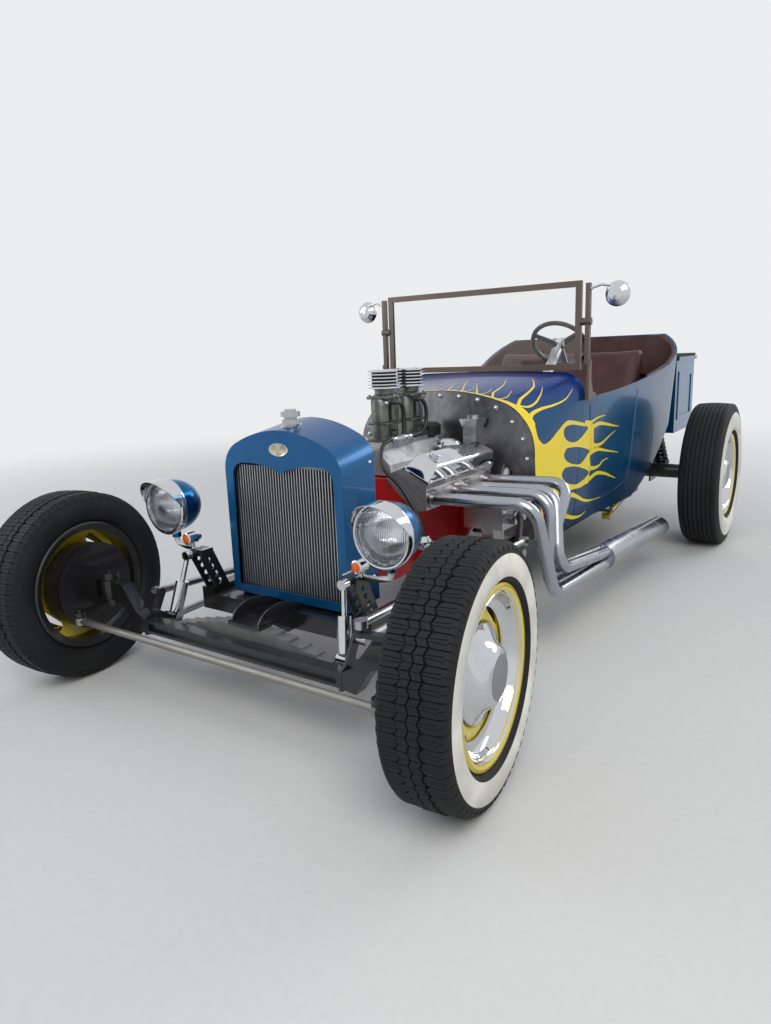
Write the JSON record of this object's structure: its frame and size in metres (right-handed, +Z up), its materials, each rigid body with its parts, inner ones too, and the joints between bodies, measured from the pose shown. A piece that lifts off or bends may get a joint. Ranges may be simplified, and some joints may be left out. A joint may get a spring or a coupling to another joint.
{
  "type": "hot rod roadster pick-up",
  "caption": "Open-wheel hot rod with exposed V8, tub body, short bed, steerable beam front axle and freely turning road wheels.",
  "frame": {"origin": "on the ground under the middle of the car's box", "axes": "+X to the car's left, +Y to the tail, +Z up"},
  "size_m": [1.784, 3.8707, 1.322],
  "materials": {
    "body_paint": "pearl blue gloss with traditional flames",
    "chassis_black": "gloss black",
    "chrome": "polished",
    "exhaust_steel": "satin",
    "cast_iron": "red engine enamel",
    "aluminium": "cast satin",
    "firewall_steel": "satin sheet",
    "bronze_trim": "warm grey metallic",
    "glass": "clear",
    "lens": "fluted",
    "amber_lens": "translucent",
    "tyre_rubber": "matt with white side band",
    "wheel_paint": "yellow gloss with chrome cap and ring",
    "upholstery": "burgundy",
    "black_plastic": "satin",
    "yellow_paint": "yellow gloss",
    "floor_black": "black mat",
    "red_lens": "translucent"
  },
  "bodies": {
    "chassis": {"frame": "chassis_black", "front_axle": "chassis_black", "front_spring": "exhaust_steel", "radius_rods": "exhaust_steel", "front_shocks": "chrome", "lamp_stands": "chassis_black", "headlamps": "body_paint", "headlamp_lenses": "lens", "signal_lamps": "amber_lens", "radiator_shell": "body_paint", "radiator_core": "exhaust_steel", "engine_block": "cast_iron", "cylinder_heads": "aluminium", "valve_covers": "chrome", "intake": "aluminium", "carburettors": "aluminium", "air_cleaners": "chrome", "distributor": "black_plastic", "breather": "chrome", "exhaust": "exhaust_steel", "gearbox": "aluminium", "rear_axle": "chassis_black", "coilovers": "chassis_black", "ladder_bars": "yellow_paint", "body_tub": "body_paint", "floor": "floor_black", "firewall": "firewall_steel", "master_cylinder": "firewall_steel", "steering_column": "exhaust_steel", "windshield_frame": "bronze_trim", "windshield_glass": "glass", "mirrors": "chrome", "seat": "upholstery", "seat_riser": "floor_black", "trim": "upholstery", "bed": "body_paint", "bed_cover": "black_plastic", "tail_lamps": "red_lens"},
    "knuckle_l": {"knuckle_l": "chassis_black"},
    "knuckle_r": {"knuckle_r": "chassis_black"},
    "tie_rod": {"tie_rod": "exhaust_steel"},
    "pitman_arm": {"pitman_arm": "chassis_black"},
    "drag_link": {"drag_link": "exhaust_steel"},
    "steering_wheel": {"steering_wheel": "black_plastic"},
    "fan": {"fan": "chrome"},
    "road_wheel_fl": {"tyre_fl": "tyre_rubber", "wheel_fl": "wheel_paint"},
    "road_wheel_fr": {"tyre_fr": "tyre_rubber", "wheel_fr": "wheel_paint"},
    "road_wheel_rl": {"tyre_rl": "tyre_rubber", "wheel_rl": "wheel_paint"},
    "road_wheel_rr": {"tyre_rr": "tyre_rubber", "wheel_rr": "wheel_paint"}
  },
  "joints": [
    {"name": "steer_left", "type": "hinge", "parent": "chassis", "child": "knuckle_l", "pos_m": [0.59, -1.59492, 0.321], "axis": [0, 0, 1], "range_deg": [-34, 22]},
    {"name": "steer_right", "type": "hinge", "parent": "chassis", "child": "knuckle_r", "pos_m": [-0.59, -1.59492, 0.321], "axis": [0, 0, 1], "range_deg": [-34, 22]},
    {"name": "tie_rod_ball", "type": "hinge", "parent": "knuckle_l", "child": "tie_rod", "pos_m": [0.60422, -1.73017, 0.251], "axis": [0, 0, 1], "range_deg": [-22, 34]},
    {"name": "pitman_turn", "type": "hinge", "parent": "chassis", "child": "pitman_arm", "pos_m": [0.452, -0.58492, 0.462], "axis": [1, 0, 0], "range_deg": [-29.33, 45.33]},
    {"name": "drag_link_ball", "type": "hinge", "parent": "pitman_arm", "child": "drag_link", "pos_m": [0.472, -0.59744, 0.37288], "axis": [1, 0, 0], "range_deg": [-45.33, 29.33]},
    {"name": "steering_wheel_turn", "type": "hinge", "parent": "chassis", "child": "steering_wheel", "pos_m": [0.29, 0.20508, 1.075], "axis": [0, 0.749, 0.6626], "range_deg": [-544, 352]},
    {"name": "wheel_fl_spin", "type": "hinge", "parent": "knuckle_l", "child": "road_wheel_fl", "pos_m": [0.75559, -1.57751, 0.321], "axis": [0.9945, 0.1045, 0], "continuous": true},
    {"name": "wheel_fr_spin", "type": "hinge", "parent": "knuckle_r", "child": "road_wheel_fr", "pos_m": [-0.75559, -1.61232, 0.321], "axis": [0.9945, 0.1045, 0], "continuous": true},
    {"name": "wheel_rl_spin", "type": "hinge", "parent": "chassis", "child": "road_wheel_rl", "pos_m": [0.789, 1.14608, 0.374], "axis": [1, 0, 0], "continuous": true},
    {"name": "wheel_rr_spin", "type": "hinge", "parent": "chassis", "child": "road_wheel_rr", "pos_m": [-0.789, 1.14608, 0.374], "axis": [1, 0, 0], "continuous": true},
    {"name": "fan_spin", "type": "hinge", "parent": "chassis", "child": "fan", "pos_m": [0, -1.12492, 0.52], "axis": [0, 1, 0], "continuous": true}
  ],
  "couplings": [
    {"joint": "steer_right", "follows": "steer_left", "ratio": 1},
    {"joint": "tie_rod_ball", "follows": "steer_left", "ratio": -1},
    {"joint": "pitman_turn", "follows": "steer_left", "ratio": -1.3333},
    {"joint": "drag_link_ball", "follows": "steer_left", "ratio": 1.3333},
    {"joint": "steering_wheel_turn", "follows": "steer_left", "ratio": 16}
  ]
}
